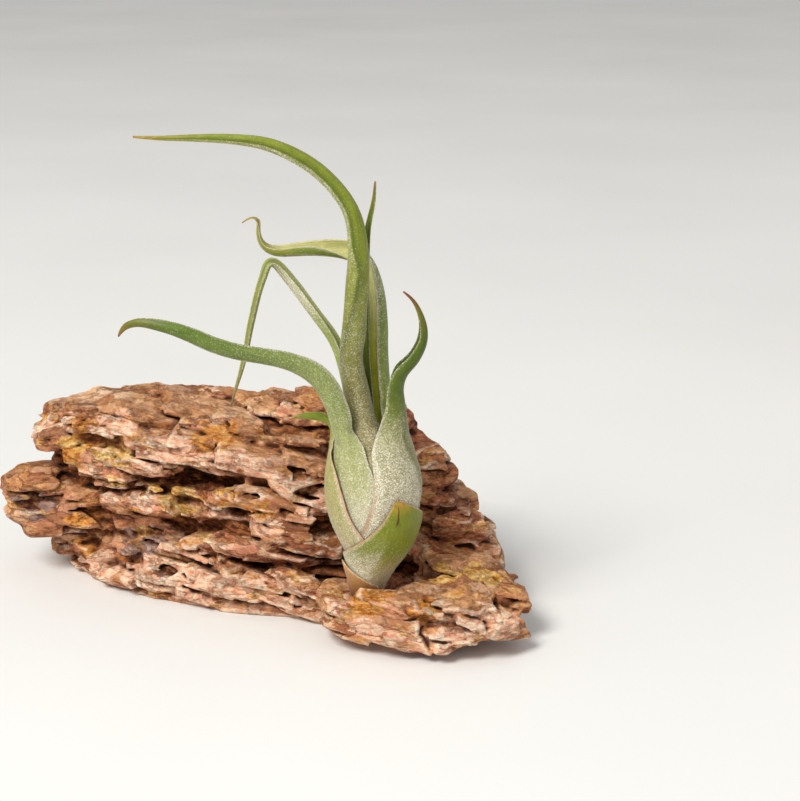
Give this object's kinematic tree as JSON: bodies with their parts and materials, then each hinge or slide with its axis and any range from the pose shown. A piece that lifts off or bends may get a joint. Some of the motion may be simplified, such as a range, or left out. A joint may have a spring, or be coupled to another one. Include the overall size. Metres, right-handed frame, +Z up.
{
  "type": "air plant on a stone",
  "caption": "Bulbous air plant with long curling channelled leaves, standing in a pocket of a rough layered stone.",
  "frame": {"origin": "centre of the bounding box at the stone's flat underside", "axes": "+Z up, +X to the right seen from the front, where the plant and the stone's spur are; -Y towards the front"},
  "size_m": [0.2198, 0.1354, 0.199],
  "materials": {
    "stone_finish": "rough layered stone, salmon pink and cream edges, ochre and brown recesses",
    "stem_finish": "dry brown, rough",
    "dry_base_sheath_finish": "dried papery brown, streaked lengthwise",
    "front_scale_finish": null,
    "leaf_small_left_finish": null,
    "leaf_right_s_finish": null,
    "leaf_left_sweep_finish": null,
    "leaf_arch_finish": null,
    "leaf_wavy_back_finish": null,
    "leaf_upright_back_finish": null,
    "leaf_bent_finish": null
  },
  "bodies": {
    "root": {"stone": "stone_finish", "stem": "stem_finish", "dry_base_sheath": "dry_base_sheath_finish", "front_scale": "front_scale_finish", "leaf_small_left": "leaf_small_left_finish", "leaf_right_s": "leaf_right_s_finish", "leaf_left_sweep": "leaf_left_sweep_finish", "leaf_arch": "leaf_arch_finish", "leaf_wavy_back": "leaf_wavy_back_finish", "leaf_upright_back": "leaf_upright_back_finish", "leaf_bent": "leaf_bent_finish"}
  },
  "joints": []
}
